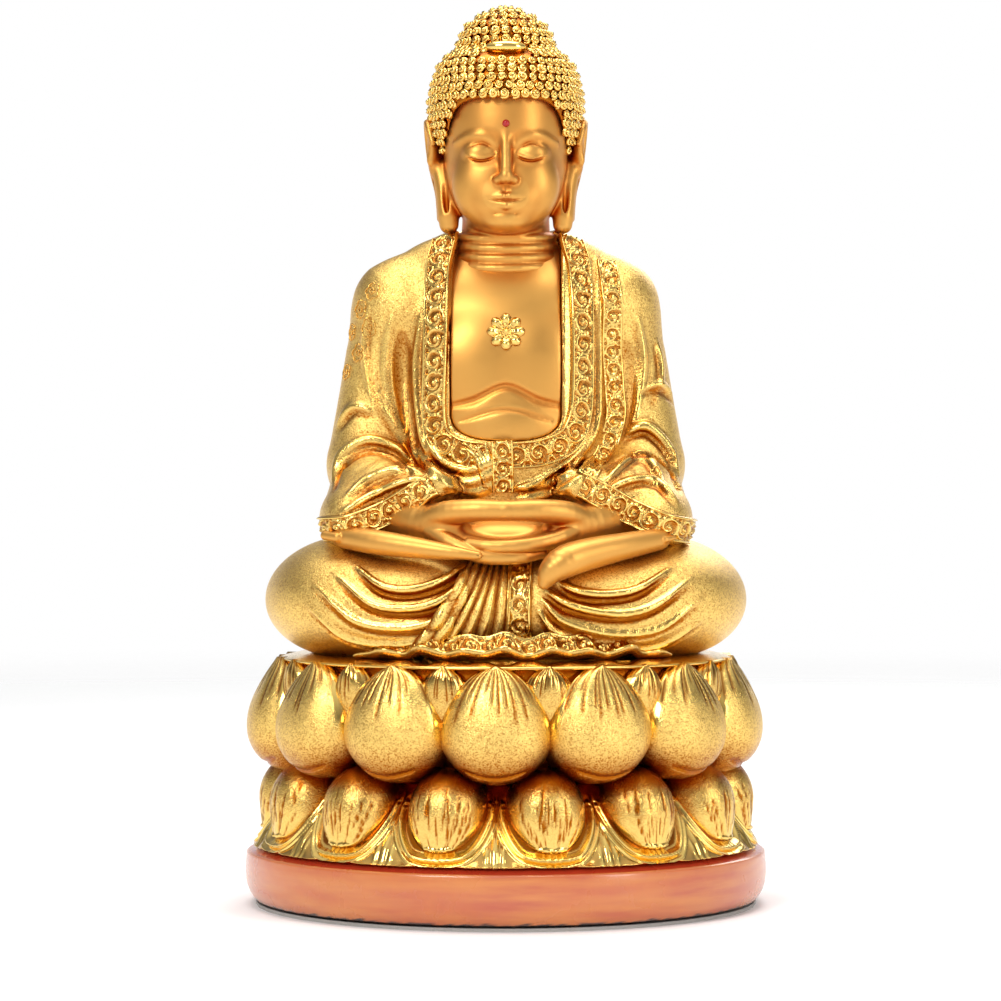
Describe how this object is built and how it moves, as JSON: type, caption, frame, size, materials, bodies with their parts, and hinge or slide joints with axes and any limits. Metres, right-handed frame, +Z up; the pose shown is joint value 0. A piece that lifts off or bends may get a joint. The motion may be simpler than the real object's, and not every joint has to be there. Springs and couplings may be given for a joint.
{
  "type": "seated figure statue on a lotus throne",
  "caption": "Seated meditating figure in draped robes, hands joined in the lap, on a double-tiered lotus throne and an oval plinth; a hollow-cast ornament that stands on a shelf.",
  "frame": {"origin": "centre of the underside, on the surface it stands on", "axes": "+Z up, the figure faces -Y, +X is to the right of a viewer facing the figure"},
  "size_m": [0.2334, 0.224, 0.4055],
  "materials": {
    "sand_gold": "gold-plated resin with a fine sparkling sand texture",
    "mirror_gold": "gold-plated resin, polished to a mirror",
    "satin_gold": "gold-plated resin, smooth satin",
    "curl_gold": "gold-plated resin, bright, in tight curls",
    "copper_lacquer": "resin under copper-pink lacquer with a darker red top face",
    "board": "plain hardboard",
    "felt": "dark felt",
    "steel": "bright zinc-plated steel",
    "red_glass": "small red bead, glossy"
  },
  "bodies": {
    "root": {"apron": "sand_gold", "board_screw_1": "steel", "board_screw_2": "steel", "board_screw_3": "steel", "board_screw_4": "steel", "brow_bead": "red_glass", "chest": "satin_gold", "chest_emblem": "mirror_gold", "closing_board": "board", "collar_band_left": "mirror_gold", "collar_band_right": "mirror_gold", "crown_jewel": "mirror_gold", "felt_pad": "felt", "foot_left": "satin_gold", "foot_right": "satin_gold", "hair_cap": "curl_gold", "hands": "satin_gold", "head": "satin_gold", "lap_robe": "sand_gold", "lower_lotus_core": "sand_gold", "lower_petal_1": "sand_gold", "lower_petal_10": "sand_gold", "lower_petal_11": "sand_gold", "lower_petal_12": "sand_gold", "lower_petal_13": "sand_gold", "lower_petal_14": "sand_gold", "lower_petal_2": "sand_gold", "lower_petal_3": "sand_gold", "lower_petal_4": "sand_gold", "lower_petal_5": "sand_gold", "lower_petal_6": "sand_gold", "lower_petal_7": "sand_gold", "lower_petal_8": "sand_gold", "lower_petal_9": "sand_gold", "plinth": "copper_lacquer", "sash_knot": "mirror_gold", "seat_plate": "mirror_gold", "shawl_band": "mirror_gold", "tie_nut": "steel", "tie_rod": "steel", "tie_washer": "steel", "torso_robe": "sand_gold", "upper_lotus_core": "sand_gold", "upper_petal_1": "sand_gold", "upper_petal_10": "sand_gold", "upper_petal_11": "sand_gold", "upper_petal_12": "sand_gold", "upper_petal_13": "sand_gold", "upper_petal_14": "sand_gold", "upper_petal_2": "sand_gold", "upper_petal_3": "sand_gold", "upper_petal_4": "sand_gold", "upper_petal_5": "sand_gold", "upper_petal_6": "sand_gold", "upper_petal_7": "sand_gold", "upper_petal_8": "sand_gold", "upper_petal_9": "sand_gold"}
  },
  "joints": []
}
